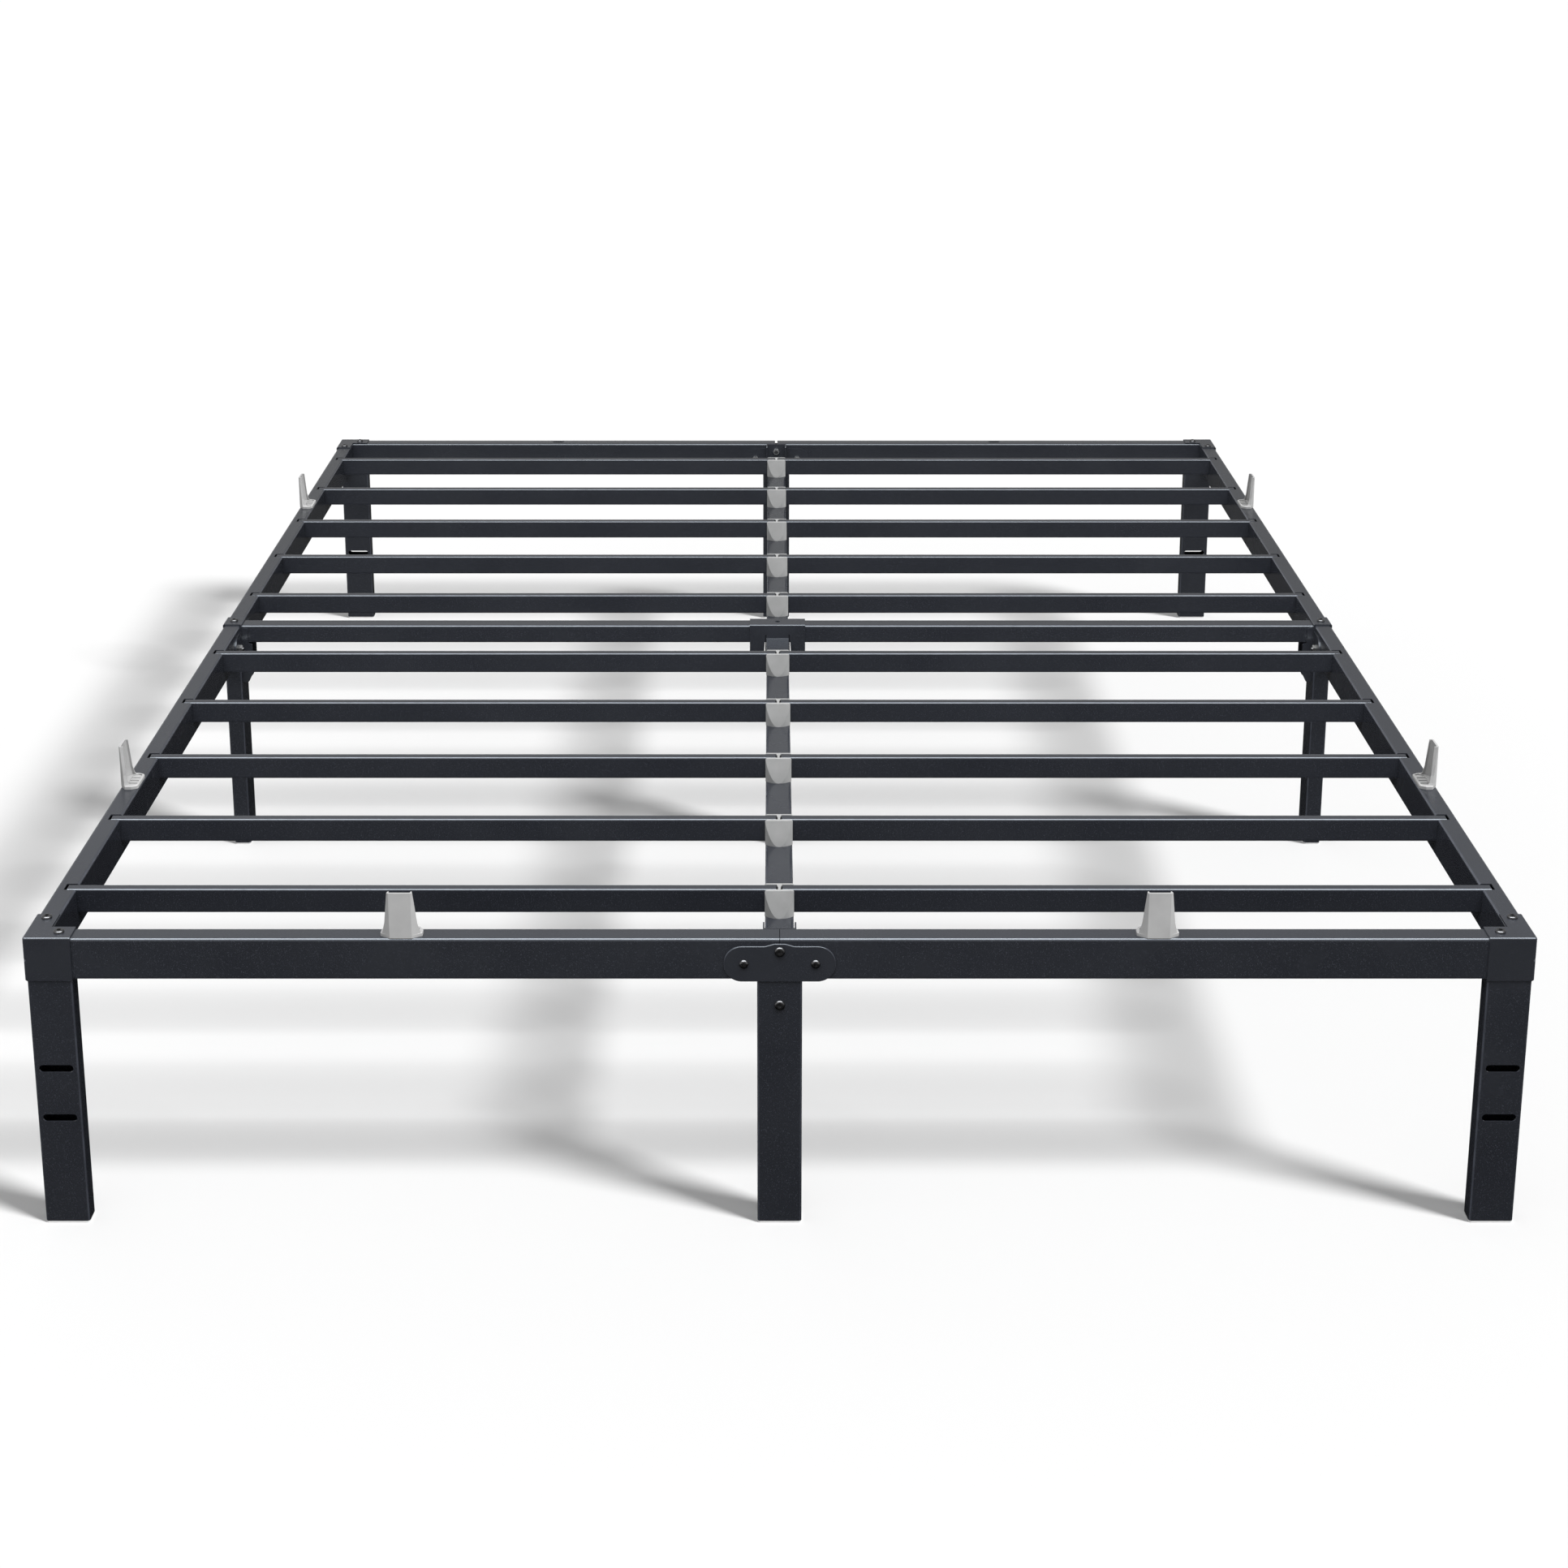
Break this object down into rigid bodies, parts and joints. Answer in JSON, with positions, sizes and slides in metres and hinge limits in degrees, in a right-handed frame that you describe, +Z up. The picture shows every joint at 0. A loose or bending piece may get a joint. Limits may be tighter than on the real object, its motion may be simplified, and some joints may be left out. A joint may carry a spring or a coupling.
{
  "type": "metal platform bed frame",
  "caption": "Low steel platform bed frame with rectangular tube rails, cross slats clipped to a centre spine, and mattress stops.",
  "frame": {"origin": "on the floor at the middle of the footprint", "axes": "+Z up, +Y from the foot end to the head end, +X to the right seen from the foot end"},
  "size_m": [1.528, 2.0364, 0.369],
  "materials": {
    "frame_coat": "satin charcoal powder coat",
    "slat_coat": "satin charcoal powder coat",
    "spine_coat": "satin charcoal powder coat",
    "bracket_coat": "satin charcoal powder coat",
    "fastener_steel": "black zinc",
    "nut_zinc": "zinc plated",
    "clip_plastic": "matte moulded",
    "stop_plastic": "matte moulded",
    "foot_plastic": "matte moulded"
  },
  "bodies": {
    "root": {"back_rail_left": "frame_coat", "back_rail_right": "frame_coat", "centre_leg_back": "frame_coat", "centre_leg_front": "frame_coat", "centre_saddle": "bracket_coat", "corner_bracket_back_left": "bracket_coat", "corner_bracket_back_right": "bracket_coat", "corner_bracket_front_left": "bracket_coat", "corner_bracket_front_right": "bracket_coat", "corner_leg_back_left": "frame_coat", "corner_leg_back_right": "frame_coat", "corner_leg_front_left": "frame_coat", "corner_leg_front_right": "frame_coat", "cross_rail_left": "spine_coat", "cross_rail_right": "spine_coat", "dome_bolts": "fastener_steel", "foot_caps": "foot_plastic", "front_rail_left": "frame_coat", "front_rail_right": "frame_coat", "hex_nuts": "nut_zinc", "joint_plate_back": "bracket_coat", "joint_plate_front": "bracket_coat", "left_rail_back": "frame_coat", "left_rail_front": "frame_coat", "mattress_stops": "stop_plastic", "middle_leg": "frame_coat", "middle_leg_bracket": "bracket_coat", "right_rail_back": "frame_coat", "right_rail_front": "frame_coat", "side_bracket_left": "bracket_coat", "side_bracket_right": "bracket_coat", "side_leg_left": "frame_coat", "side_leg_right": "frame_coat", "slat_clips_back": "clip_plastic", "slat_clips_front": "clip_plastic", "slat_left_1": "slat_coat", "slat_left_10": "slat_coat", "slat_left_2": "slat_coat", "slat_left_3": "slat_coat", "slat_left_4": "slat_coat", "slat_left_5": "slat_coat", "slat_left_6": "slat_coat", "slat_left_7": "slat_coat", "slat_left_8": "slat_coat", "slat_left_9": "slat_coat", "slat_right_1": "slat_coat", "slat_right_10": "slat_coat", "slat_right_2": "slat_coat", "slat_right_3": "slat_coat", "slat_right_4": "slat_coat", "slat_right_5": "slat_coat", "slat_right_6": "slat_coat", "slat_right_7": "slat_coat", "slat_right_8": "slat_coat", "slat_right_9": "slat_coat", "socket_screws": "fastener_steel", "spine_back": "spine_coat", "spine_bracket_back": "bracket_coat", "spine_bracket_front": "bracket_coat", "spine_front": "spine_coat"}
  },
  "joints": []
}
